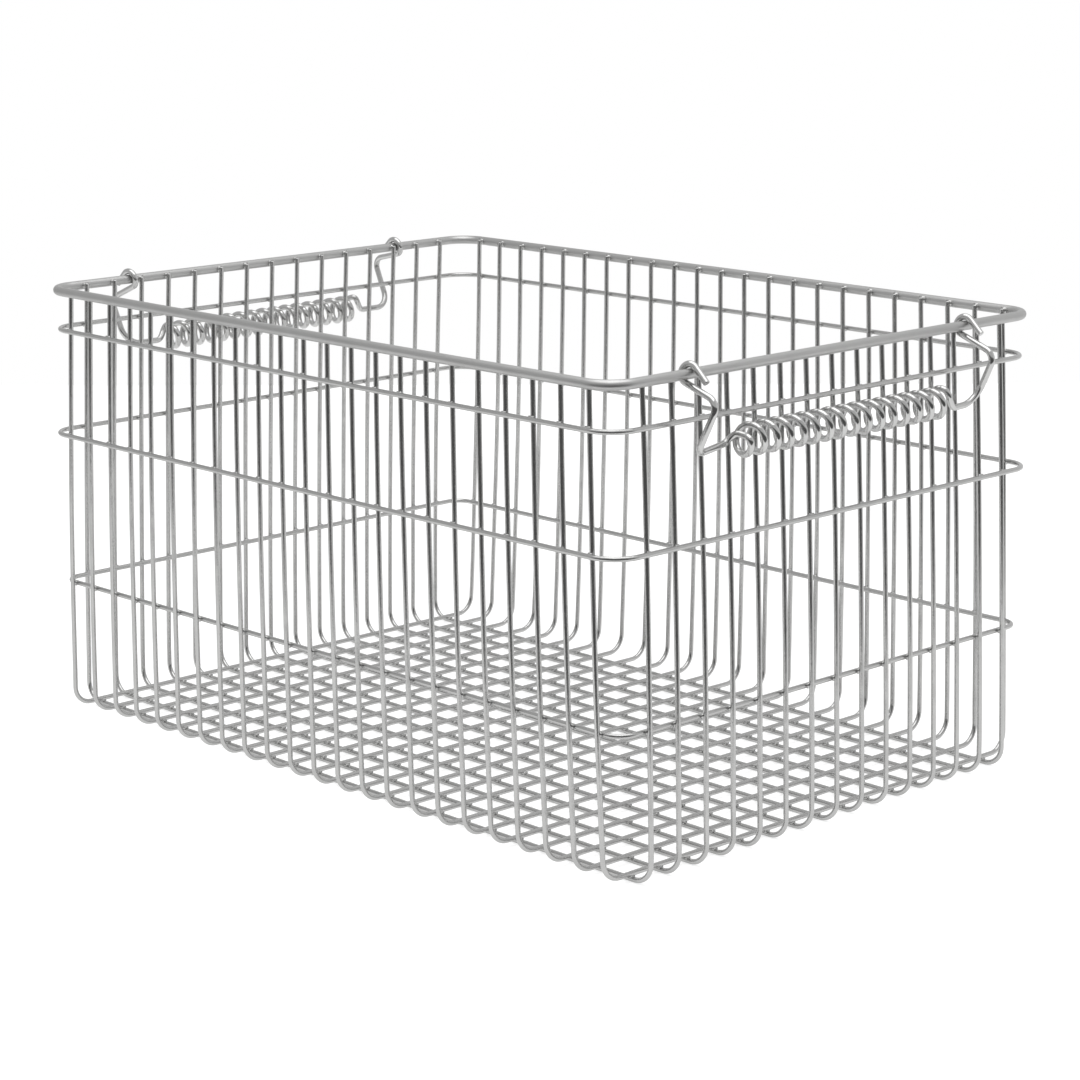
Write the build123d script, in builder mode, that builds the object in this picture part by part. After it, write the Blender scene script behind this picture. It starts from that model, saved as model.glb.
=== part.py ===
from build123d import *
import os
from math import atan2, ceil, cos, degrees, dist, pi, radians, sin, sqrt
from typing import NamedTuple

# Welded wire locker basket with two swinging bails, in millimetres.
# X runs along the basket, Y across it, Z up. The origin is under the middle of
# the floor, at the underside of its lowest wires.

# Wire stock
wire_diameter = 2.6
rim_diameter = 5.0
bail_diameter = 3.3
weld_sink = 0.1

# Basket shell, measured to the axes of the wall wires
floor_half_length = 222.5
floor_half_width = 151.6
rim_height = 239.3
end_wall_lean = 9.6
side_wall_bow = 1.4
wall_bulge = 1.2
wall_bend_radius = 10.4
wire_top_rise = 1.2

# Grid of bent wires. The outermost ones stand in from the walls and lean in towards the rim
cross_wire_count = 23
cross_wire_inset = 12.9
cross_wire_lean = 10.3
long_wire_count = 15
long_wire_inset = 18.4
long_wire_lean = 1.8

# Hoops round the shell, two measured down from the rim and the lowest up from the floor
upper_hoop_drop = 21.6
middle_hoop_drop = 79.8
lower_hoop_height = 75.0
corner_radius = 15.2
lower_hoop_corner_radius = 10.0

# Bails, measured out from the axis of the rim and down from it
eye_wire = 5
eye_clearance = 0.3
eye_tail_angle = 43.4
eye_shift = 1.9
tail_length = 9.5
elbow_out = 20.6
elbow_radius = 5.5
elbow_splay_share = 0.5
grip_gap = 0.3
grip_turns = 16

# Right bail. Its ends differ: each eye stands outside its own end wall wire, and the knee
# before the coil is bent tighter at the first end, where the wire runs in under the first turn
right_grip_radius = 6.8
right_grip_drop = 34.1
right_grip_sag = 1.0
right_first_eye_gap = 11.2
right_first_arm_angle = 256.0
right_first_knee_drop = 36.3
right_first_knee_splay = 2.4
right_first_knee_radius = 6.0
right_first_grip_inset = 24.7
right_first_lead_length = 4.2
right_first_lead_in = 5.0
right_first_lead_lift = 1.1
right_first_crest_drop = 3.6
right_first_crest_shift = 2.0
right_second_eye_gap = 3.3
right_second_arm_angle = 252.3
right_second_knee_drop = 38.1
right_second_knee_splay = 0.4
right_second_knee_radius = 10.0
right_second_grip_inset = 26.0
right_second_lead_length = 8.0
right_second_lead_in = -2.0

# Left bail
left_grip_radius = 6.4
left_grip_drop = 35.8
left_grip_sag = 1.4
left_first_eye_gap = 5.2
left_first_arm_angle = 260.0
left_first_knee_drop = 36.9
left_first_knee_splay = 0.0
left_first_knee_radius = 9.0
left_first_grip_inset = 28.3
left_first_lead_length = 8.0
left_first_tail_length = 6.0
left_second_eye_gap = 4.6
left_second_arm_angle = 250.0
left_second_knee_drop = 38.2
left_second_knee_splay = -1.0
left_second_knee_radius = 10.0
left_second_grip_inset = 30.5
left_second_lead_length = 8.0

# Worked out from the sizes above
wire_radius = wire_diameter / 2
rim_radius = rim_diameter / 2
bail_radius = bail_diameter / 2
crossing = wire_diameter - weld_sink
rim_offset = rim_radius + wire_radius - weld_sink
low_layer = wire_radius
top_layer = low_layer + crossing
wire_top = rim_height + wire_top_rise
upper_hoop_height = rim_height - upper_hoop_drop
middle_hoop_height = rim_height - middle_hoop_drop
cross_wire_steps = (cross_wire_count - 1) / 2
long_wire_steps = (long_wire_count - 1) / 2
quarter_turn = 90
full_turn = 360


def height_share(z):
    """How far a height lies up the wall, from the low floor layer to the rim."""
    return (z - low_layer) / (rim_height - low_layer)


def bulge(z):
    """Swell of a wall between the floor and the rim."""
    return 4 * wall_bulge * height_share(z) * (1 - height_share(z))


def end_reach(z):
    """Distance from the middle of the basket to the axis of an end wall wire."""
    return floor_half_length - end_wall_lean * height_share(z) + bulge(z)


def side_reach(x, z):
    """Distance from the middle of the basket to the axis of a side wall wire."""
    bow = side_wall_bow * height_share(z) * (1 - (x / floor_half_length) ** 2)
    return floor_half_width + bow + bulge(z)


def cross_wire_place(step, z):
    """Place along the basket of a cross wire, counted from the middle one."""
    outermost = floor_half_length - cross_wire_inset - cross_wire_lean * height_share(z)
    return outermost * step / cross_wire_steps


def long_wire_place(step, z):
    """Place across the basket of a long wire, counted from the middle one."""
    outermost = floor_half_width - long_wire_inset - long_wire_lean * height_share(z)
    return outermost * step / long_wire_steps


def wire_lean(place, step, base):
    """Angle at which a wire's plane leans in towards the middle of the basket."""
    return atan2(place(step, base) - place(step, wire_top), wire_top - base)


def bent_wire(frame, base, reach):
    """One wire of the grid: across the floor and up both walls, in its own leaning plane."""
    bend_end = base + wall_bend_radius
    slope = (reach(bend_end + wire_radius) - reach(bend_end - wire_radius)) / wire_diameter
    turn = quarter_turn - degrees(atan2(slope, 1))
    flat = reach(bend_end) - wall_bend_radius * sin(radians(turn))
    with BuildPart() as wire:
        with BuildLine(frame) as line:
            Line((-flat, 0), (flat, 0))
            for side in (-1, 1):
                bend = JernArc((side * flat, 0), (side, 0), wall_bend_radius, side * turn)
                TangentArc(bend @ 1, (side * reach(wire_top), wire_top - base), tangent=bend % 1)
        path = line.wires()[0]
        with BuildSketch(Plane(origin=path @ 0, z_dir=path % 0)):
            Circle(wire_radius)
        sweep(path=path)
    return wire


def ring_path(z, offset, corner):
    """Closed line round the shell at one height: straight ends, gently bowed sides."""
    half_length = end_reach(z) + offset
    straight_end = cross_wire_place(cross_wire_steps, z)
    middle = side_reach(0, z) + offset
    corner_width = side_reach(half_length, z) + offset
    with BuildLine(Plane.XY.offset(z)) as path:
        for side in (-1, 1):
            ThreePointArc((-half_length, side * corner_width), (0, side * middle),
                          (half_length, side * corner_width))
            Line((side * half_length, -corner_width), (side * half_length, corner_width))
        fillet(path.vertices(), min(corner, half_length - straight_end))
    return path.wires()[0]


def ring_rod(z, offset, corner, rod_radius):
    """One rod closed on itself round the shell."""
    path = ring_path(z, offset, corner)
    with BuildPart() as rod:
        with BuildSketch(Plane(origin=path @ 0, z_dir=path % 0)):
            Circle(rod_radius)
        sweep(path=path)
    return rod


def rim_out():
    """Distance from the middle of the basket to the rim's axis over an end wall."""
    return end_reach(rim_height) + rim_offset


class Arm(NamedTuple):
    """How one end of a bail is bent, from its eye to the coil."""
    eye_gap: float
    arm_angle: float
    knee_drop: float
    knee_splay: float
    knee_radius: float
    grip_inset: float
    lead_length: float
    lead_in: float = 0
    lead_lift: float = 0
    crest_drop: float = 0
    crest_shift: float = 0
    tail_length: float = tail_length

    def eye_reach(self):
        """Distance from the middle of the end wall to the eye."""
        return long_wire_place(eye_wire, rim_height) + self.eye_gap

    def grip_reach(self):
        """Distance from the middle of the end wall to the end of the coil."""
        return self.eye_reach() - self.grip_inset


class Grip(NamedTuple):
    """The coil of a bail, its second end hanging lower than the first by the sag."""
    radius: float
    drop: float
    sag: float

    def out(self):
        """How far out of the rim's axis the coil lies, at rest against the end wall."""
        wall_face = end_reach(rim_height - self.drop) + wire_radius
        return wall_face + grip_gap + bail_radius + self.radius - rim_out()


def biarc(start, start_way, end, end_way):
    """Joint of the two tangent arcs between two stations of a wire, and its way there."""
    gap = end - start
    along = gap.dot(start_way + end_way)
    spread = 2 * (1 - start_way.dot(end_way))
    reach = (sqrt(along ** 2 + spread * gap.dot(gap)) - along) / spread
    joint = (start + end + (start_way - end_way) * reach) / 2
    way = (end - end_way * reach) - (start + start_way * reach)
    return joint, way.normalized()


def chain(stations):
    """Join the stations of a wire, each a point and its way there, by biarcs."""
    for (start, start_way), (end, end_way) in zip(stations, stations[1:]):
        joint, way = biarc(start, start_way, end, end_way)
        TangentArc(start, joint, tangent=start_way)
        TangentArc(joint, end, tangent=way)


def eye_stations(arm_along, arm_angle):
    """Stations of an eye, from its free tail over the rim and round to the arm."""
    eye_radius = rim_radius + eye_clearance + bail_radius
    turned = radians(arm_angle - eye_tail_angle)
    steps = ceil((arm_angle - eye_tail_angle) / quarter_turn)
    stations = []
    for step in range(steps + 1):
        angle = radians(eye_tail_angle) + turned * step / steps
        wave = pi * step / steps
        along = arm_along + eye_shift * (1 + cos(wave)) / 2
        point = Vector(eye_radius * cos(angle), along, eye_radius * sin(angle))
        climb = -eye_shift * sin(wave) * pi / turned / 2
        way = Vector(-eye_radius * sin(angle), climb, eye_radius * cos(angle))
        stations.append((point, way.normalized()))
    return stations


def grip_stations(grip, start, end):
    """Stations of a coil, a quarter turn apart, from the top of its first turn."""
    steps = grip_turns * full_turn // quarter_turn
    climb = (end - start) / grip_turns / radians(full_turn)
    stations = []
    for step in range(steps + 1):
        angle = radians(step * quarter_turn)
        along = start + (end - start) * step / steps
        drop = grip.drop + grip.sag * (step / steps - 1 / 2)
        point = Vector(grip.out() + grip.radius * sin(angle), along, grip.radius * cos(angle) - drop)
        way = Vector(grip.radius * cos(angle), climb, -grip.radius * sin(angle))
        stations.append((point, way.normalized()))
    return stations


def self_gap(path):
    """Least gap between stretches of one wire that lie apart along its length."""
    samples = []
    run = 0
    for edge in path.edges():
        count = ceil(edge.length / bail_radius)
        for step in range(count):
            samples.append((run + edge.length * step / count, tuple(edge @ (step / count))))
        run += edge.length
    near = pi * bail_diameter
    gaps = [dist(spot, other) for at, spot in samples for far, other in samples if far - at > near]
    return min(gaps) - bail_diameter


def bail(end, grip, arms):
    """One bail, a single wire: eyes round the rim, arms, and a coiled grip between them."""

    def placed(point):
        return Vector(end * (rim_out() + point.X), end * point.Y, rim_height + point.Z)

    def turned(stations):
        return [(placed(point), Vector(end * way.X, end * way.Y, way.Z)) for point, way in stations]

    coil = grip_stations(grip, -arms[0].grip_reach(), arms[1].grip_reach())
    leads, crests = [], []
    with BuildPart() as wire:
        with BuildLine() as line:
            for side, arm, crest in ((-1, arms[0], coil[0]), (1, arms[1], coil[-1])):
                eye = eye_stations(side * arm.eye_reach(), arm.arm_angle)
                tail = eye[0][0] - eye[0][1] * arm.tail_length
                root, way = eye[-1]
                splay = Vector(0, side * arm.knee_splay, 0)
                elbow = root + way * ((elbow_out - root.X) / way.X) + splay * elbow_splay_share
                knee = Vector(grip.out(), root.Y, -arm.knee_drop) + splay
                lead_end = side * (arm.grip_reach() + arm.lead_length)
                lead = Vector(grip.out() - arm.lead_in, lead_end, arm.lead_lift - arm.knee_drop)
                Line(placed(tail), placed(eye[0][0]))
                chain(turned(eye))
                corners = [placed(point) for point in (root, elbow, knee, lead)]
                FilletPolyline(*corners, radius=(elbow_radius, arm.knee_radius))
                leads.append((lead, (lead - knee).normalized() * -side))
                top, across = crest
                crests.append((top - Vector(0, side * arm.crest_shift, arm.crest_drop), across))
            chain(turned([leads[0], crests[0], *coil[1:-1], crests[1], leads[1]]))
        path = line.wires()[0]
        with BuildSketch(Plane(origin=path @ 0, z_dir=path % 0)):
            Circle(bail_radius)
        sweep(path=path)
    print("least gap of a bail to itself", round(self_gap(path), 2))
    return wire


def save(part, name):
    """Name one finished piece and write it."""
    part.part.label = name
    export_step(part.part, "parts/" + name + ".step")


os.makedirs("parts", exist_ok=True)

# Rim rod, outside the tops of all wall wires
rim_rod = ring_rod(rim_height, rim_offset, corner_radius, rim_radius)
save(rim_rod, "rim_rod")

# Three hoops: two outside the wall wires and the lowest one inside them
hoops = (
    ("upper_hoop", upper_hoop_height, crossing, corner_radius),
    ("middle_hoop", middle_hoop_height, crossing, corner_radius),
    ("lower_hoop", lower_hoop_height, -crossing, lower_hoop_corner_radius),
)
for name, height, offset, corner in hoops:
    save(ring_rod(height, offset, corner, wire_radius), name)

# Cross wires: floor wires of the top layer, bent up into both side walls
for number in range(cross_wire_count):
    step = number - cross_wire_steps
    lean = wire_lean(cross_wire_place, step, top_layer)
    foot = cross_wire_place(step, top_layer)
    frame = Plane(origin=(foot, 0, top_layer), x_dir=(0, 1, 0), z_dir=(cos(lean), 0, sin(lean)))
    wire = bent_wire(frame, top_layer, lambda z: side_reach(foot, z))
    save(wire, f"cross_wire_{number + 1:02d}")

# Long wires: floor wires of the low layer, bent up into both end walls
for number in range(long_wire_count):
    step = number - long_wire_steps
    lean = wire_lean(long_wire_place, step, low_layer)
    foot = long_wire_place(step, low_layer)
    frame = Plane(origin=(0, foot, low_layer), x_dir=(1, 0, 0), z_dir=(0, -cos(lean), -sin(lean)))
    wire = bent_wire(frame, low_layer, end_reach)
    save(wire, f"long_wire_{number + 1:02d}")

# Bails: each hangs outside its end wall and swings up and over the rim
right_bail = bail(1, Grip(right_grip_radius, right_grip_drop, right_grip_sag), (
    Arm(right_first_eye_gap, right_first_arm_angle, right_first_knee_drop,
        right_first_knee_splay, right_first_knee_radius, right_first_grip_inset,
        right_first_lead_length, right_first_lead_in, right_first_lead_lift,
        right_first_crest_drop, right_first_crest_shift),
    Arm(right_second_eye_gap, right_second_arm_angle, right_second_knee_drop,
        right_second_knee_splay, right_second_knee_radius, right_second_grip_inset,
        right_second_lead_length, right_second_lead_in)))
save(right_bail, "right_bail")
left_bail = bail(-1, Grip(left_grip_radius, left_grip_drop, left_grip_sag), (
    Arm(left_first_eye_gap, left_first_arm_angle, left_first_knee_drop,
        left_first_knee_splay, left_first_knee_radius, left_first_grip_inset,
        left_first_lead_length, tail_length=left_first_tail_length),
    Arm(left_second_eye_gap, left_second_arm_angle, left_second_knee_drop,
        left_second_knee_splay, left_second_knee_radius, left_second_grip_inset,
        left_second_lead_length)))
save(left_bail, "left_bail")
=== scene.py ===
import math
import random
from typing import NamedTuple

import bpy
from mathutils import Matrix, Vector


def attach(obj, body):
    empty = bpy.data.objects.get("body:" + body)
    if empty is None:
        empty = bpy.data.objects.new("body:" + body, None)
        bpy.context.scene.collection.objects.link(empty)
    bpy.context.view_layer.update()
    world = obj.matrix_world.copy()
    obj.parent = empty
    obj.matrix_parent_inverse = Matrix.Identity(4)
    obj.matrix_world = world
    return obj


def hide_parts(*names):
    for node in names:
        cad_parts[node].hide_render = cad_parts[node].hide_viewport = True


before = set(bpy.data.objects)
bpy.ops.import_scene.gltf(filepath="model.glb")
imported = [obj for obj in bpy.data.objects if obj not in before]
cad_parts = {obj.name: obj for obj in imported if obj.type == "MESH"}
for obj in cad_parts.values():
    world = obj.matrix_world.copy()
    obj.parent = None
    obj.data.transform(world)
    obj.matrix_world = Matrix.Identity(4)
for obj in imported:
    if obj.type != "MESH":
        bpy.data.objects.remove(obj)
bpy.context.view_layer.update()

mm = 0.001

# Long wires. Fifteen drawn steel wires form the lowest layer of the floor. Each one is bent up
# into both end walls on an easy radius, leans a little towards the middle and stops inside the
# rim, where its cut end is welded on. All the steel is plated after welding.
wire_radius = 1.3 * mm
wire_spacing = 2.5 * mm
low_layer = 1.3 * mm
rim_height = 239.3 * mm
wire_top_rise = 1.2 * mm
wire_top = rim_height + wire_top_rise
floor_half_length = 222.5 * mm
floor_half_width = 151.6 * mm
end_wall_lean = 9.6 * mm
side_wall_bow = 1.4 * mm
wall_bulge = 1.2 * mm
wall_bend_radius = 10.4 * mm
long_wire_count = 15
outer_long_wire = long_wire_count // 2
long_wire_inset = 18.4 * mm
long_wire_lean = 1.8 * mm
long_wire_seed = 100
wire_sides = 16
bend_steps = 10
wall_steps = 22


def height_share(z):
    """How far a height lies up the wall, from the low floor layer to the rim."""
    return (z - low_layer) / (rim_height - low_layer)


def bulge(z):
    """Swell of a wall between the floor and the rim."""
    return 4 * wall_bulge * height_share(z) * (1 - height_share(z))


def end_reach(z):
    """Distance from the middle of the basket to the axis of an end wall wire."""
    return floor_half_length - end_wall_lean * height_share(z) + bulge(z)


def long_wire_place(step, z):
    """Place across the basket of a long wire, counted from the middle one."""
    outermost = floor_half_width - (long_wire_inset + long_wire_lean * height_share(z))
    return outermost * step / outer_long_wire


def wire_lean(place, step, base):
    """Angle at which a wire's plane leans in towards the middle of the basket."""
    return math.atan2(place(step, base) - place(step, wire_top), wire_top - base)


def half_bend(reach, base):
    """Places out and up of half a bent wire: over the floor, round the bend, up the wall."""
    bend_end = base + wall_bend_radius
    slope = (reach(bend_end + wire_radius) - reach(bend_end - wire_radius)) / (2 * wire_radius)
    turn = math.pi / 2 - math.atan2(slope, 1)
    flat = reach(bend_end) - wall_bend_radius * math.sin(turn)
    points = []
    for step in range(bend_steps + 1):
        angle = turn * step / bend_steps
        points.append((flat + wall_bend_radius * math.sin(angle),
                       wall_bend_radius * (1 - math.cos(angle))))
    foot = points[-1][1]
    for step in range(1, wall_steps + 1):
        height = foot + (wire_top - base - foot) * step / wall_steps
        points.append((reach(base + height), height))
    return points


def bent_wire(reach, base):
    """Places out and up of one wire of the grid, from one wall top to the other."""
    half = half_bend(reach, base)
    floor_steps = 12
    flat = half[0][0]
    floor = [(flat * (2 * step / floor_steps - 1), 0) for step in range(1, floor_steps)]
    return [(-u, v) for u, v in reversed(half)] + floor + half


def add_path(paths, points, girths=None, closed=False):
    """Add one line of points to the paths of a piece, each with its share of full thickness."""
    verts, edges, girth = paths
    first = len(verts)
    verts.extend(points)
    girth.extend(girths or [1.0] * len(points))
    edges.extend((first + i, first + i + 1) for i in range(len(points) - 1))
    if closed:
        edges.append((len(verts) - 1, first))


def cut_ends(points, radius):
    """A wire's line with a short bevelled stretch at both ends, as side cutters leave it."""
    bevel_share = 0.16
    bevel = bevel_share * radius
    start = points[0] + (points[1] - points[0]).normalized() * bevel
    end = points[-1] + (points[-2] - points[-1]).normalized() * bevel
    line = [points[0], start] + points[1:-1] + [end, points[-1]]
    tip = [1 - bevel_share]
    return line, tip + [1.0] * (len(line) - 2) + tip


def new_tree(name, inputs):
    """A Geometry Nodes tree with named inputs, and its entry, exit and link maker."""
    tree = bpy.data.node_groups.new(name, "GeometryNodeTree")
    for label, kind in inputs:
        tree.interface.new_socket(label, in_out="INPUT", socket_type="NodeSocket" + kind)
    tree.interface.new_socket("Mesh", in_out="OUTPUT", socket_type="NodeSocketGeometry")
    enter = tree.nodes.new("NodeGroupInput")
    leave = tree.nodes.new("NodeGroupOutput")
    return tree, enter, leave, tree.links.new


def drawn_wire_tree():
    """Tree that sweeps a round wire along every line of a path."""
    tree, enter, leave, link = new_tree("drawn_wire", (
        ("Path", "Geometry"), ("Radius", "Float"), ("Sides", "Int"), ("Crease", "Float"),
        ("Finish", "Material")))
    line = tree.nodes.new("GeometryNodeMeshToCurve")
    girth = tree.nodes.new("GeometryNodeInputNamedAttribute")
    girth.data_type = "FLOAT"
    girth.inputs["Name"].default_value = "girth"
    ring = tree.nodes.new("GeometryNodeCurvePrimitiveCircle")
    sweep = tree.nodes.new("GeometryNodeCurveToMesh")
    sweep.inputs["Fill Caps"].default_value = True
    smooth = tree.nodes.new("GeometryNodeSetShadeSmooth")
    angle = tree.nodes.new("GeometryNodeInputMeshEdgeAngle")
    sharp = tree.nodes.new("ShaderNodeMath")
    sharp.operation = "GREATER_THAN"
    crease = tree.nodes.new("GeometryNodeSetShadeSmooth")
    crease.domain = "EDGE"
    crease.inputs["Shade Smooth"].default_value = False
    solid = tree.nodes.new("GeometryNodeRealizeInstances")
    paint = tree.nodes.new("GeometryNodeSetMaterial")
    link(enter.outputs["Path"], line.inputs["Mesh"])
    link(line.outputs["Curve"], sweep.inputs["Curve"])
    link(enter.outputs["Sides"], ring.inputs["Resolution"])
    link(enter.outputs["Radius"], ring.inputs["Radius"])
    link(ring.outputs["Curve"], sweep.inputs["Profile Curve"])
    link(girth.outputs["Attribute"], sweep.inputs["Scale"])
    link(sweep.outputs["Mesh"], smooth.inputs["Geometry"])
    link(smooth.outputs["Geometry"], crease.inputs["Geometry"])
    link(angle.outputs["Unsigned Angle"], sharp.inputs[0])
    link(enter.outputs["Crease"], sharp.inputs[1])
    link(sharp.outputs["Value"], crease.inputs["Selection"])
    link(crease.outputs["Geometry"], solid.inputs["Geometry"])
    link(solid.outputs["Geometry"], paint.inputs["Geometry"])
    link(enter.outputs["Finish"], paint.inputs["Material"])
    link(paint.outputs["Geometry"], leave.inputs["Mesh"])
    return tree


def grown(name, mesh, tree, settings):
    """The plain piece that a tree makes of a mesh, with its inputs set by name."""
    seed = bpy.data.objects.new(name + "_path", mesh)
    bpy.context.scene.collection.objects.link(seed)
    modifier = seed.modifiers.new("grow", "NODES")
    modifier.node_group = tree
    for item in tree.interface.items_tree:
        if item.in_out == "INPUT" and item.name in settings:
            modifier[item.identifier] = settings[item.name]
    shown = seed.evaluated_get(bpy.context.evaluated_depsgraph_get())
    piece = bpy.data.objects.new(name, bpy.data.meshes.new_from_object(shown))
    piece.data.name = name
    bpy.data.objects.remove(seed)
    bpy.context.scene.collection.objects.link(piece)
    return piece


def swept(name, paths, radius, sides, finish):
    """A piece of round wire along its paths."""
    verts, edges, girth = paths
    mesh = bpy.data.meshes.new(name + "_path")
    mesh.from_pydata(verts, edges, [])
    mesh.attributes.new("girth", "FLOAT", "POINT").data.foreach_set("value", girth)
    return grown(name, mesh, wire_tree, {
        "Radius": radius, "Sides": sides, "Crease": math.radians(38), "Finish": finish})


def plating_group():
    """Shader group for plated wire: cloudy tone, patchy gloss and faint waves in the coat."""
    group = bpy.data.node_groups.new("plating", "ShaderNodeTree")
    for label, kind in (("Bright", "Color"), ("Dull", "Color"), ("Cloud Size", "Float"),
                        ("Gloss Low", "Float"), ("Gloss High", "Float"), ("Ripple Size", "Float")):
        group.interface.new_socket(label, in_out="INPUT", socket_type="NodeSocket" + kind)
    for label, kind in (("Color", "Color"), ("Roughness", "Float"), ("Height", "Float")):
        group.interface.new_socket(label, in_out="OUTPUT", socket_type="NodeSocket" + kind)
    enter = group.nodes.new("NodeGroupInput")
    leave = group.nodes.new("NodeGroupOutput")
    place = group.nodes.new("ShaderNodeTexCoord")
    link = group.links.new

    def noise(size_socket, detail):
        scale = group.nodes.new("ShaderNodeMath")
        scale.operation = "DIVIDE"
        scale.inputs[0].default_value = 1.0
        link(size_socket, scale.inputs[1])
        cloud = group.nodes.new("ShaderNodeTexNoise")
        cloud.inputs["Detail"].default_value = detail
        link(place.outputs["Object"], cloud.inputs["Vector"])
        link(scale.outputs["Value"], cloud.inputs["Scale"])
        return cloud.outputs["Fac"]

    cloud = noise(enter.outputs["Cloud Size"], 4.0)
    tone = group.nodes.new("ShaderNodeMix")
    tone.data_type = "RGBA"
    link(cloud, tone.inputs["Factor"])
    link(enter.outputs["Bright"], tone.inputs[6])
    link(enter.outputs["Dull"], tone.inputs[7])
    link(tone.outputs[2], leave.inputs["Color"])
    gloss = group.nodes.new("ShaderNodeMapRange")
    link(cloud, gloss.inputs["Value"])
    gloss.inputs["From Min"].default_value = 0.35
    gloss.inputs["From Max"].default_value = 0.7
    link(enter.outputs["Gloss Low"], gloss.inputs["To Min"])
    link(enter.outputs["Gloss High"], gloss.inputs["To Max"])
    link(gloss.outputs["Result"], leave.inputs["Roughness"])
    link(noise(enter.outputs["Ripple Size"], 2.0), leave.inputs["Height"])
    return group


def plated_finish(name, bright, dull, gloss, ripple_size, ripple_height):
    """A plated steel finish: metal with the plating group's tone, gloss and ripple."""
    finish = bpy.data.materials.new(name)
    finish.use_nodes = True
    nodes = finish.node_tree.nodes
    link = finish.node_tree.links.new
    coat = nodes.new("ShaderNodeGroup")
    coat.node_tree = plating
    coat.inputs["Bright"].default_value = (*bright, 1)
    coat.inputs["Dull"].default_value = (*dull, 1)
    coat.inputs["Cloud Size"].default_value = 14 * mm
    coat.inputs["Gloss Low"].default_value = gloss[0]
    coat.inputs["Gloss High"].default_value = gloss[1]
    coat.inputs["Ripple Size"].default_value = ripple_size
    ripple = nodes.new("ShaderNodeBump")
    ripple.inputs["Strength"].default_value = 1.0
    ripple.inputs["Distance"].default_value = ripple_height
    metal = nodes["Principled BSDF"]
    metal.inputs["Metallic"].default_value = 1.0
    link(coat.outputs["Color"], metal.inputs["Base Color"])
    link(coat.outputs["Roughness"], metal.inputs["Roughness"])
    link(coat.outputs["Height"], ripple.inputs["Height"])
    link(ripple.outputs["Normal"], metal.inputs["Normal"])
    return finish


wire_tree = drawn_wire_tree()
plating = plating_group()
grid_finish = plated_finish(
    "grid_plating", bright=(0.66, 0.66, 0.655), dull=(0.54, 0.54, 0.535), gloss=(0.16, 0.27),
    ripple_size=5 * mm, ripple_height=0.04 * mm)


def unevenness(seed):
    """Slow sideways wander of one wire above its foot, by height."""
    most, foot_height, short_wave, long_wave = 0.16 * mm, 20 * mm, 31 * mm, 52 * mm
    random.seed(seed)
    swing, sway = (random.uniform(-most, most) for _ in range(2))
    phase = random.uniform(0, 2 * math.pi)

    def wander(height):
        if height <= foot_height:
            return 0.0
        return swing * math.sin(phase + height / short_wave) + sway * math.sin(height / long_wave)
    return wander


long_paths = ([], [], [])
for number in range(long_wire_count):
    step = number - outer_long_wire
    lean = wire_lean(long_wire_place, step, low_layer)
    foot = long_wire_place(step, low_layer)
    wander = unevenness(long_wire_seed + number)
    line = [Vector((out, foot - rise * math.sin(lean) + wander(rise),
                    low_layer + rise * math.cos(lean)))
            for out, rise in bent_wire(end_reach, low_layer)]
    add_path(long_paths, *cut_ends(line, wire_radius))
long_wires = swept("long_wires", long_paths, wire_radius, wire_sides, grid_finish)
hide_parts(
    *[f"long_wire_{number + 1:02d}" for number in range(long_wire_count)])
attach(long_wires, "basket")

# Cross wires. Twenty-three wires lie across the long ones and are bent up into the long side
# walls, which bow out slightly at mid length. The outermost stand well in from the corners.
top_layer = low_layer + wire_spacing
cross_wire_count = 23
outer_cross_wire = cross_wire_count // 2
cross_wire_inset = 12.9 * mm
cross_wire_lean = 10.3 * mm
cross_wire_seed = 200


def side_reach(x, z):
    """Distance from the middle of the basket to the axis of a side wall wire."""
    bow = side_wall_bow * height_share(z) * (1 - (x / floor_half_length) ** 2)
    return floor_half_width + bow + bulge(z)


def cross_wire_place(step, z):
    """Place along the basket of a cross wire, counted from the middle one."""
    outermost = floor_half_length - (cross_wire_inset + cross_wire_lean * height_share(z))
    return outermost * step / outer_cross_wire


cross_paths = ([], [], [])
for number in range(cross_wire_count):
    step = number - outer_cross_wire
    lean = wire_lean(cross_wire_place, step, top_layer)
    foot = cross_wire_place(step, top_layer)
    wander = unevenness(cross_wire_seed + number)
    line = [Vector((foot - rise * math.sin(lean) + wander(rise), out,
                    top_layer + rise * math.cos(lean)))
            for out, rise in bent_wire(lambda z: side_reach(foot, z), top_layer)]
    add_path(cross_paths, *cut_ends(line, wire_radius))
cross_wires = swept("cross_wires", cross_paths, wire_radius, wire_sides, grid_finish)
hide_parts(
    *[f"cross_wire_{number + 1:02d}" for number in range(cross_wire_count)])
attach(cross_wires, "basket")

# Hoops. Three closed hoops of the same wire stiffen the shell. The lowest lies inside the wall
# wires on a tight corner, the other two outside them on the corner radius of the rim.
upper_hoop_drop = 21.6 * mm
middle_hoop_drop = 79.8 * mm
lower_hoop_height = 75.0 * mm
corner_radius = 15.2 * mm
lower_corner_radius = 10.0 * mm
hoops = (
    ("upper_hoop", rim_height - upper_hoop_drop, wire_spacing, corner_radius),
    ("middle_hoop", rim_height - middle_hoop_drop, wire_spacing, corner_radius),
    ("lower_hoop", lower_hoop_height, -wire_spacing, lower_corner_radius),
)


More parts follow.
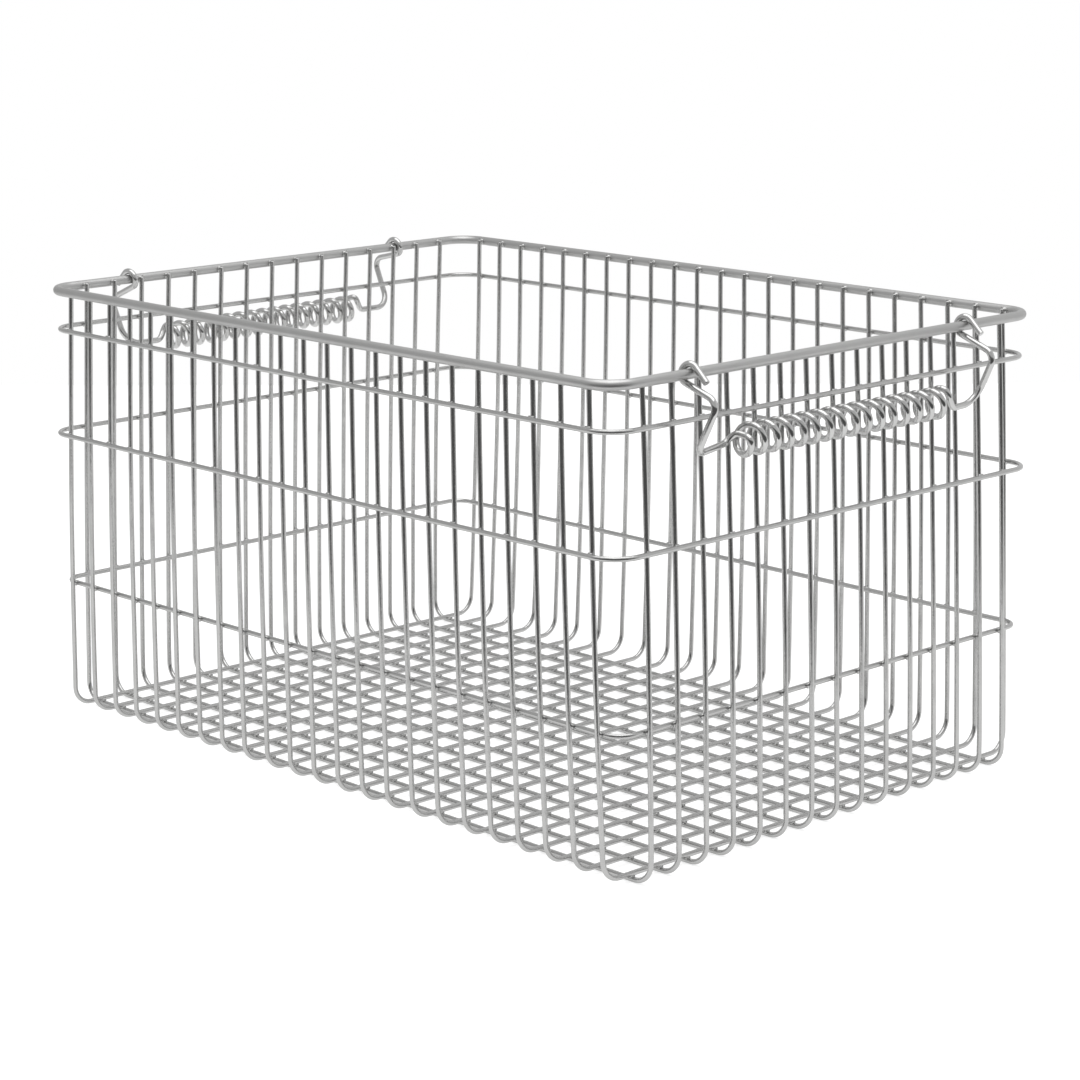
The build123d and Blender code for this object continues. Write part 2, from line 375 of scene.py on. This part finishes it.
def ring_line(z, offset, corner):
    """Closed line round the shell at one height: straight ends, gently bowed sides."""
    half_length = end_reach(z) + offset
    corner = min(corner, half_length - cross_wire_place(outer_cross_wire, z))
    side_steps, end_steps, corner_steps = 24, 14, 12
    width = side_reach(half_length - corner, z) + offset
    quarter = []
    for step in range(side_steps // 2):
        x = (half_length - corner) * step / (side_steps / 2)
        quarter.append((x, side_reach(x, z) + offset))
    for step in range(corner_steps + 1):
        angle = math.pi / 2 * (1 - step / corner_steps)
        quarter.append((half_length - corner * (1 - math.cos(angle)),
                        width - corner * (1 - math.sin(angle))))
    for step in range(1, end_steps // 2 + 1):
        quarter.append((half_length, (width - corner) * (1 - step / (end_steps / 2))))
    right = quarter + [(x, -y) for x, y in reversed(quarter[:-1])]
    loop = right + [(-x, y) for x, y in reversed(right[1:-1])]
    return [Vector((x, y, z)) for x, y in loop]


for name, height, offset, corner in hoops:
    paths = ([], [], [])
    add_path(paths, ring_line(height, offset, corner), closed=True)
    hoop = swept(name + "_wire", paths, wire_radius, wire_sides, grid_finish)
    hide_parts(name)
    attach(hoop, "basket")

# Rim rod. One thick rod closed on itself lies outside the tops of all the wall wires and
# carries both bails. It is plated with the rest and has a slightly duller, satin look.
rim_radius = 2.5 * mm
rim_offset = 3.7 * mm
rim_sides = 28
rim_finish = plated_finish(
    "rim_plating", bright=(0.60, 0.60, 0.595), dull=(0.52, 0.52, 0.515), gloss=(0.36, 0.46),
    ripple_size=9 * mm, ripple_height=0.05 * mm)
rim_paths = ([], [], [])
add_path(rim_paths, ring_line(rim_height, rim_offset, corner_radius), closed=True)
rim = swept("rim_rod_plated", rim_paths, rim_radius, rim_sides, rim_finish)
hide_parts("rim_rod")
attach(rim, "basket")

# Spot welds. At every crossing the two wires are pressed together hot, so that a little metal
# squeezes out between them as a four-cornered lump. Larger ones fix the wire tops to the rim.


def spot_weld_tree():
    """Tree that puts one squeezed lump at each contact, turned to the wires there."""
    tree, enter, leave, link = new_tree("spot_welds", (
        ("Contacts", "Geometry"), ("Corner Share", "Float"), ("Seed", "Int"),
        ("Finish", "Material")))

    def attribute(name):
        node = tree.nodes.new("GeometryNodeInputNamedAttribute")
        node.data_type = "FLOAT_VECTOR"
        node.inputs["Name"].default_value = name
        return node.outputs["Attribute"]

    def maths(operation, first, second=None):
        node = tree.nodes.new("ShaderNodeMath")
        node.operation = operation
        for slot, value in enumerate((first, second)):
            if isinstance(value, (int, float)):
                node.inputs[slot].default_value = value
            elif value is not None:
                link(value, node.inputs[slot])
        return node.outputs["Value"]

    lump = tree.nodes.new("GeometryNodeMeshUVSphere")
    lump.inputs["Segments"].default_value = 8
    lump.inputs["Rings"].default_value = 6
    where = tree.nodes.new("GeometryNodeInputPosition")
    parts = tree.nodes.new("ShaderNodeSeparateXYZ")
    link(where.outputs["Position"], parts.inputs["Vector"])
    turn = maths("ARCTAN2", parts.outputs["Y"], parts.outputs["X"])
    wave = maths("COSINE", maths("MULTIPLY", turn, 4))
    grow = maths("SUBTRACT", 1, maths("MULTIPLY", wave, enter.outputs["Corner Share"]))
    shape = tree.nodes.new("ShaderNodeCombineXYZ")
    link(maths("MULTIPLY", parts.outputs["X"], grow), shape.inputs["X"])
    link(maths("MULTIPLY", parts.outputs["Y"], grow), shape.inputs["Y"])
    link(parts.outputs["Z"], shape.inputs["Z"])
    squeeze = tree.nodes.new("GeometryNodeSetPosition")
    link(lump.outputs["Mesh"], squeeze.inputs["Geometry"])
    link(shape.outputs["Vector"], squeeze.inputs["Position"])
    turned = tree.nodes.new("FunctionNodeAxesToRotation")
    turned.primary_axis = "Z"
    turned.secondary_axis = "X"
    link(attribute("facing"), turned.inputs["Primary Axis"])
    link(attribute("along"), turned.inputs["Secondary Axis"])
    chance = tree.nodes.new("FunctionNodeRandomValue")
    chance.data_type = "FLOAT_VECTOR"
    smallest, largest = (0.82, 0.82, 0.8), (1.16, 1.16, 1.2)
    chance.inputs[0].default_value, chance.inputs[1].default_value = smallest, largest
    link(enter.outputs["Seed"], chance.inputs["Seed"])
    size = tree.nodes.new("ShaderNodeVectorMath")
    size.operation = "MULTIPLY"
    link(attribute("spread"), size.inputs[0])
    link(chance.outputs[0], size.inputs[1])
    place = tree.nodes.new("GeometryNodeInstanceOnPoints")
    link(enter.outputs["Contacts"], place.inputs["Points"])
    link(squeeze.outputs["Geometry"], place.inputs["Instance"])
    link(turned.outputs["Rotation"], place.inputs["Rotation"])
    link(size.outputs["Vector"], place.inputs["Scale"])
    solid = tree.nodes.new("GeometryNodeRealizeInstances")
    smooth = tree.nodes.new("GeometryNodeSetShadeSmooth")
    paint = tree.nodes.new("GeometryNodeSetMaterial")
    link(place.outputs["Instances"], solid.inputs["Geometry"])
    link(solid.outputs["Geometry"], smooth.inputs["Geometry"])
    link(smooth.outputs["Geometry"], paint.inputs["Geometry"])
    link(enter.outputs["Finish"], paint.inputs["Material"])
    link(paint.outputs["Geometry"], leave.inputs["Mesh"])
    return tree


up = Vector((0, 0, 1))
east = Vector((1, 0, 0))
north = Vector((0, 1, 0))
grid_weld = Vector((1.7, 1.7, 0.95)) * mm
rim_weld = Vector((2.0, 2.0, 1.3)) * mm
contacts = []
cross_steps = range(-outer_cross_wire, outer_cross_wire + 1)
long_steps = range(-outer_long_wire, outer_long_wire + 1)
for cross_step in cross_steps:
    for long_step in long_steps:
        x, y = cross_wire_place(cross_step, top_layer), long_wire_place(long_step, low_layer)
        contacts.append((Vector((x, y, (low_layer + top_layer) / 2)), up, east, grid_weld))
levels = [(height, offset / 2, grid_weld) for _, height, offset, _ in hoops]
levels.append((rim_height, wire_radius, rim_weld))
for height, offset, size in levels:
    for side in (-1, 1):
        for cross_step in cross_steps:
            x = cross_wire_place(cross_step, height)
            spot = Vector((x, side * (side_reach(x, height) + offset), height))
            contacts.append((spot, north * side, up, size))
        for long_step in long_steps:
            y = long_wire_place(long_step, height)
            spot = Vector((side * (end_reach(height) + offset), y, height))
            contacts.append((spot, east * side, up, size))
weld_points = bpy.data.meshes.new("weld_points")
weld_points.from_pydata([spot for spot, _, _, _ in contacts], [], [])
for name, place in (("facing", 1), ("along", 2), ("spread", 3)):
    values = [value for contact in contacts for value in contact[place]]
    weld_points.attributes.new(name, "FLOAT_VECTOR", "POINT").data.foreach_set("vector", values)
weld_finish = plated_finish(
    "weld_plating", bright=(0.78, 0.78, 0.775), dull=(0.42, 0.42, 0.415), gloss=(0.12, 0.3),
    ripple_size=0.9 * mm, ripple_height=0.1 * mm)
welds = grown("spot_welds", weld_points, spot_weld_tree(),
              {"Corner Share": 0.2, "Seed": 7, "Finish": weld_finish})
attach(welds, "basket")

# Bails. Each is one length of brighter spring wire. Its ends are hooked over and under the rim
# and stand off as short straight tails, its arms kick out and drop to knees, and between the
# knees it is wound into an open coil that serves as the hand grip. No two ends are bent alike.
bail_radius = 1.65 * mm
bail_sides = 20
bail_finish = plated_finish(
    "bail_plating", bright=(0.74, 0.74, 0.735), dull=(0.6, 0.6, 0.595), gloss=(0.1, 0.2),
    ripple_size=4 * mm, ripple_height=0.03 * mm)
rim_out = end_reach(rim_height) + rim_offset

# The bends of a bail are given in millimetres from the rim's axis, and in degrees.
bail_clearance = 0.3
eye_tail_angle = 43.4
eye_shift = 1.9
elbow_reach = 20.6
elbow_radius = 5.5
wire_beside_eye = 5
grip_turns = 16


class Grip(NamedTuple):
    """The coil of a bail, in millimetres. Its second end hangs lower than the first by the sag."""
    radius: float
    drop: float
    sag: float


class Arm(NamedTuple):
    """How one end of a bail is bent from its eye to the coil, in millimetres and degrees."""
    eye_gap: float
    angle: float
    knee_drop: float
    knee_splay: float
    knee_radius: float
    grip_inset: float
    lead_length: float = 8.0
    lead_in: float = 0.0
    lead_lift: float = 0.0
    crest_drop: float = 0.0
    crest_shift: float = 0.0
    tail_length: float = 9.5


def eye_line(arm_along, arm_angle):
    """Points of an eye from its free tail over the rim and round to the arm, in millimetres."""
    eye_radius = (rim_radius + bail_radius) / mm + bail_clearance
    steps = 40
    points = []
    for step in range(steps + 1):
        angle = math.radians(eye_tail_angle + (arm_angle - eye_tail_angle) * step / steps)
        along = arm_along + eye_shift * (1 + math.cos(math.pi * step / steps)) / 2
        points.append(Vector((eye_radius * math.cos(angle), along, eye_radius * math.sin(angle))))
    return points


def rounded(corners, radii):
    """Points of a line of straight runs with its inner corners rounded."""
    points = [corners[0]]
    for before, corner, after, radius in zip(corners, corners[1:], corners[2:], radii):
        back, on = (before - corner).normalized(), (after - corner).normalized()
        half = back.angle(on) / 2
        centre = corner + (back + on).normalized() * (radius / math.sin(half))
        start = corner + back * (radius / math.tan(half)) - centre
        end = corner + on * (radius / math.tan(half)) - centre
        sweep = math.pi - 2 * half
        steps = 12
        for step in range(steps + 1):
            share = step / steps
            arm = start * math.sin((1 - share) * sweep) + end * math.sin(share * sweep)
            points.append(centre + arm / math.sin(sweep))
    return points + [corners[-1]]


def eased(start, start_way, end, end_way):
    """Points of a smooth bend between two places, leaving and arriving along given ways."""
    pull_share = 0.39
    pull = (end - start).length * pull_share
    first, second = start + start_way.normalized() * pull, end - end_way.normalized() * pull
    steps = 12
    points = []
    for step in range(1, steps):
        t = step / steps
        points.append(start * (1 - t) ** 3 + first * (3 * t * (1 - t) ** 2)
                      + second * (3 * t ** 2 * (1 - t)) + end * t ** 3)
    return points


def bail(name, node, end, grip, arms):
    """One bail as a single swept wire, worked out in millimetres from the rim's axis."""
    wall_face = (end_reach(rim_height - grip.drop * mm) + wire_radius - rim_out) / mm
    grip_out = wall_face + bail_clearance + bail_radius / mm + grip.radius
    reaches = [long_wire_place(wire_beside_eye, rim_height) / mm + arm.eye_gap for arm in arms]
    grip_start, grip_end = arms[0].grip_inset - reaches[0], reaches[1] - arms[1].grip_inset
    turn_steps = 24
    coil = []
    for step in range(grip_turns * turn_steps + 1):
        angle, share = 2 * math.pi * step / turn_steps, step / (grip_turns * turn_steps)
        coil.append(Vector((
            grip_out + grip.radius * math.sin(angle), grip_start + (grip_end - grip_start) * share,
            grip.radius * math.cos(angle) - grip.drop - grip.sag * (share - 1 / 2))))
    climb = coil[1] - coil[0]
    halves = []
    for side, arm, reach, top in (
            (-1, arms[0], reaches[0], coil[0]), (1, arms[1], reaches[1], coil[-1])):
        eye = eye_line(side * reach, arm.angle)
        tail = eye[0] + (eye[0] - eye[1]).normalized() * arm.tail_length
        arm_way = (eye[-1] - eye[-2]).normalized()
        elbow = eye[-1] + arm_way * ((elbow_reach - eye[-1].x) / arm_way.x)
        elbow += north * side * arm.knee_splay / 2
        knee = Vector((grip_out, eye[-1].y + side * arm.knee_splay, -arm.knee_drop))
        lead = Vector((grip_out - arm.lead_in, side * (reach - arm.grip_inset + arm.lead_length),
                       arm.lead_lift - arm.knee_drop))
        bends = rounded([eye[-1], elbow, knee, lead], (elbow_radius, arm.knee_radius))
        crest = top - Vector((0, side * arm.crest_shift, arm.crest_drop))
        halves.append(([tail] + eye + bends[1:], (lead - knee) * -side, crest))
    (first, first_way, first_crest), (last, last_way, last_crest) = halves
    quarter = turn_steps // 4
    into = eased(first[-1], first_way, first_crest, climb) + [first_crest]
    into += eased(first_crest, climb, coil[quarter], coil[quarter + 1] - coil[quarter - 1])
    out = eased(coil[-1 - quarter], coil[-quarter] - coil[-2 - quarter], last_crest, climb)
    out += [last_crest] + eased(last_crest, climb, last[-1], last_way)
    line = first + into + coil[quarter:-quarter] + out + list(reversed(last))
    line = [Vector((end * (rim_out + p.x * mm), end * p.y * mm, rim_height + p.z * mm))
            for p in line]
    paths = ([], [], [])
    add_path(paths, *cut_ends(line, bail_radius))
    piece = swept(name, paths, bail_radius, bail_sides, bail_finish)
    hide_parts(node)
    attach(piece, node)


bail("right_bail_wire", "right_bail", 1, Grip(radius=6.8, drop=34.1, sag=1.0), (
    Arm(eye_gap=11.2, angle=256.0, knee_drop=36.3, knee_splay=2.4, knee_radius=6.0,
        grip_inset=24.7, lead_length=4.2, lead_in=5.0, lead_lift=1.1, crest_drop=3.6,
        crest_shift=2.0),
    Arm(eye_gap=3.3, angle=252.3, knee_drop=38.1, knee_splay=0.4, knee_radius=10.0,
        grip_inset=26.0, lead_in=-2.0)))
bail("left_bail_wire", "left_bail", -1, Grip(radius=6.4, drop=35.8, sag=1.4), (
    Arm(eye_gap=5.2, angle=260.0, knee_drop=36.9, knee_splay=0.0, knee_radius=9.0,
        grip_inset=28.3, tail_length=6.0),
    Arm(eye_gap=4.6, angle=250.0, knee_drop=38.2, knee_splay=-1.0, knee_radius=10.0,
        grip_inset=30.5)))

# Studio. The basket stands on a white table under one large soft lamp, in a pale room that is
# lighter behind the basket's right side. In the metal the table shows painted shade to the left,
# and where it ends in front a low dark sheet, seen only in the metal, is painted shade that gives
# the upright wires their dark cores.
view_azimuth = math.radians(45.96)
view_elevation = math.radians(12.99)
view_roll = math.radians(-0.127)
view_distance = 1643.78 * mm
view_slide = 7.32 * mm
view_lift = 104.73 * mm
back = Vector((math.sin(view_azimuth) * math.cos(view_elevation),
               -math.cos(view_azimuth) * math.cos(view_elevation), math.sin(view_elevation)))
level = Vector((math.cos(view_azimuth), math.sin(view_azimuth), 0))
upright = back.cross(level)
eye_at = back * view_distance + level * view_slide + upright * view_lift + up * low_layer
right = level * math.cos(view_roll) + upright * math.sin(view_roll)
over = upright * math.cos(view_roll) - level * math.sin(view_roll)
camera = bpy.data.objects.new("camera", bpy.data.cameras.new("camera"))
bpy.context.scene.collection.objects.link(camera)
camera.matrix_world = Matrix.Translation(eye_at) @ Matrix((right, over, back)).transposed().to_4x4()
camera.data.sensor_width = 36
camera.data.lens = 99.667
camera.data.clip_end = 20
bpy.context.scene.camera = camera

toward = Vector((back.x, back.y, 0)).normalized()


def stage_sheet(name, corners):
    """A flat sheet of the studio, with its faces, and its own material's nodes and link maker."""
    mesh = bpy.data.meshes.new(name)
    mesh.from_pydata(corners, [], [(0, 1, 2, 3)])
    sheet = bpy.data.objects.new(name, mesh)
    bpy.context.scene.collection.objects.link(sheet)
    finish = bpy.data.materials.new(name)
    finish.use_nodes = True
    finish.node_tree.nodes.clear()
    mesh.materials.append(finish)
    return sheet, finish.node_tree.nodes, finish.node_tree.links.new


def larger(nodes, link, first, second):
    """The larger of two values, here whether either kind of ray is meant."""
    node = nodes.new("ShaderNodeMath")
    node.operation = "MAXIMUM"
    link(first, node.inputs[0])
    link(second, node.inputs[1])
    return node.outputs["Value"]


table_front, table_back, table_side = 0.51, -1.1, 1.6
table_drop = 0.02 * mm
table_brightness = 0.68
floor, nodes, link = stage_sheet("floor", [
    toward * reach + level * side - up * table_drop for reach, side in (
        (table_front, -table_side), (table_front, table_side),
        (table_back, table_side), (table_back, -table_side))])
rays = nodes.new("ShaderNodeLightPath")
matt = nodes.new("ShaderNodeBsdfDiffuse")
matt.inputs["Color"].default_value = (0.5, 0.5, 0.5, 1)
glow = nodes.new("ShaderNodeEmission")
seen = nodes.new("ShaderNodeMath")
seen.operation = "MULTIPLY"
seen.inputs[1].default_value = table_brightness
link(rays.outputs["Is Camera Ray"], seen.inputs[0])
mirrored = nodes.new("ShaderNodeMath")
mirrored.operation = "MULTIPLY"
link(rays.outputs["Is Glossy Ray"], mirrored.inputs[0])
spot = nodes.new("ShaderNodeTexCoord")
across = nodes.new("ShaderNodeVectorMath")
across.operation = "DOT_PRODUCT"
across.inputs[1].default_value = level
link(spot.outputs["Object"], across.inputs[0])
spread = nodes.new("ShaderNodeMapRange")
spread.inputs["From Min"].default_value = -1
link(across.outputs["Value"], spread.inputs["Value"])
# Painted shade on the table as seen in the metal: its glossy glow is darker to the left than in the
# middle.
table_painted_shade = nodes.new("ShaderNodeValToRGB")
for place in (0.38, 0.62):
    table_painted_shade.color_ramp.elements.new(place)
for element, tone in zip(table_painted_shade.color_ramp.elements, (0.15, 0.38, 0.38, 0.3)):
    element.color = (tone, tone, tone, 1)
link(spread.outputs["Result"], table_painted_shade.inputs["Fac"])
link(table_painted_shade.outputs["Color"], mirrored.inputs[1])
link(larger(nodes, link, seen.outputs["Value"], mirrored.outputs["Value"]),
     glow.inputs["Strength"])
both = nodes.new("ShaderNodeAddShader")
link(matt.outputs["BSDF"], both.inputs[0])
link(glow.outputs["Emission"], both.inputs[1])
surface = nodes.new("ShaderNodeOutputMaterial")
link(both.outputs["Shader"], surface.inputs["Surface"])

# Painted shade: a dark glowing sheet, seen only in the metal, stands for the dark front of the room
# and gives the upright wires their dark cores.
shade_sheet_height = 0.3
shade_sheet, nodes, link = stage_sheet("painted_shade_sheet", [
    toward * table_front + level * side + up * height for side, height in (
        (-table_side, 0), (table_side, 0),
        (table_side, shade_sheet_height), (-table_side, shade_sheet_height))])
black = nodes.new("ShaderNodeEmission")
black.inputs["Color"].default_value = (0.085, 0.085, 0.085, 1)
surface = nodes.new("ShaderNodeOutputMaterial")
link(black.outputs["Emission"], surface.inputs["Surface"])
shade_sheet.visible_camera = False
shade_sheet.visible_shadow = False
shade_sheet.visible_diffuse = False

lamp = bpy.data.objects.new("overhead_lamp", bpy.data.lights.new("overhead_lamp", "AREA"))
bpy.context.scene.collection.objects.link(lamp)
lamp.data.shape = "RECTANGLE"
lamp.data.size, lamp.data.size_y = 1.5, 1.5
lamp.data.energy = 9.0
lamp.location = (0.15, -0.1, 1.4)

world = bpy.data.worlds.new("room")
bpy.context.scene.world = world
world.use_nodes = True
nodes, link = world.node_tree.nodes, world.node_tree.links.new
nodes.clear()
rays = nodes.new("ShaderNodeLightPath")
way = nodes.new("ShaderNodeTexCoord")
lightest_way = level * 0.8 - toward * 0.6
facing = nodes.new("ShaderNodeVectorMath")
facing.operation = "DOT_PRODUCT"
facing.inputs[1].default_value = lightest_way
link(way.outputs["Generated"], facing.inputs[0])
turned = nodes.new("ShaderNodeMapRange")
turned.inputs["From Min"].default_value = -1
link(facing.outputs["Value"], turned.inputs["Value"])
walls = nodes.new("ShaderNodeValToRGB")
walls.color_ramp.elements.new(0.5)
for element, tone in zip(walls.color_ramp.elements, (0.5, 0.5, 0.7)):
    element.color = (tone, tone, tone, 1)
link(turned.outputs["Result"], walls.inputs["Fac"])
room = nodes.new("ShaderNodeBackground")
link(walls.outputs["Color"], room.inputs["Color"])
plain = nodes.new("ShaderNodeBackground")
plain.inputs["Color"].default_value = (1, 1, 1, 1)
plain.inputs["Strength"].default_value = 0.8
clear = nodes.new("ShaderNodeBackground")
clear.inputs["Color"].default_value = (1, 1, 1, 1)
lit = nodes.new("ShaderNodeMixShader")
link(rays.outputs["Is Glossy Ray"], lit.inputs["Fac"])
link(plain.outputs["Background"], lit.inputs[1])
link(room.outputs["Background"], lit.inputs[2])
shown = nodes.new("ShaderNodeMixShader")
link(larger(nodes, link, rays.outputs["Is Camera Ray"], rays.outputs["Is Transmission Ray"]),
     shown.inputs["Fac"])
link(lit.outputs["Shader"], shown.inputs[1])
link(clear.outputs["Background"], shown.inputs[2])
surface = nodes.new("ShaderNodeOutputWorld")
link(shown.outputs["Shader"], surface.inputs["Surface"])
bpy.context.scene.view_settings.view_transform = "Standard"
